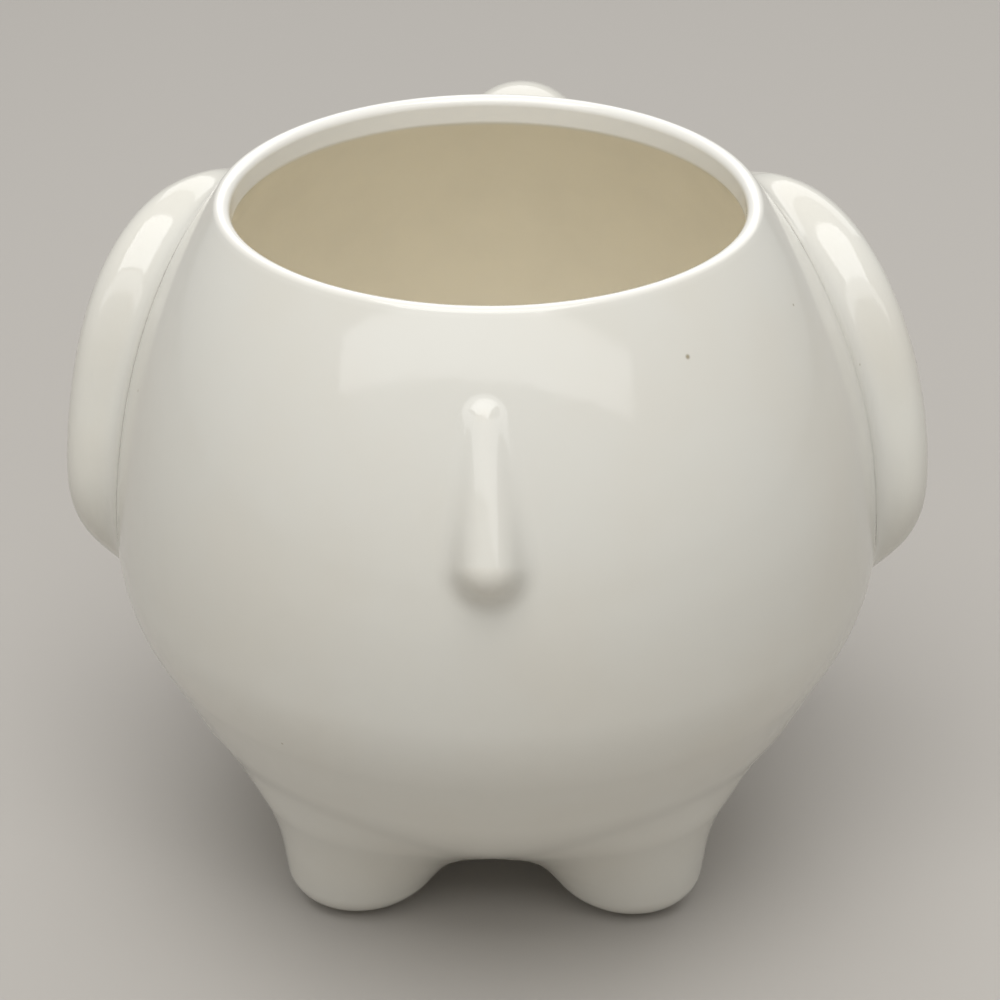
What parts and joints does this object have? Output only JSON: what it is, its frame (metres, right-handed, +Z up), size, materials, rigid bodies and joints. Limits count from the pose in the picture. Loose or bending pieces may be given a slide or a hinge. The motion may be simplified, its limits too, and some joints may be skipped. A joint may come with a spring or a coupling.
{
  "type": "elephant planter",
  "caption": "Glazed ceramic planter shaped as a standing elephant: a round hollow pot open at the back, with thick ear pads, a raised trunk, a small tail and stub feet.",
  "frame": {"origin": "on the floor under the middle of the overall box: midway between the ears and midway between the trunk and the tail", "axes": "+Z up, the animal faces -Y and its left side is +X"},
  "size_m": [0.151, 0.1608, 0.1268],
  "materials": {
    "white_glaze": "gloss"
  },
  "bodies": {
    "root": {"pot_body": "white_glaze", "ear_left": "white_glaze", "ear_right": "white_glaze", "trunk": "white_glaze", "lower_lip": "white_glaze", "eye_left": "white_glaze", "eye_right": "white_glaze", "tail": "white_glaze", "foot_front_left": "white_glaze", "foot_front_right": "white_glaze", "foot_rear_left": "white_glaze", "foot_rear_right": "white_glaze"}
  },
  "joints": []
}
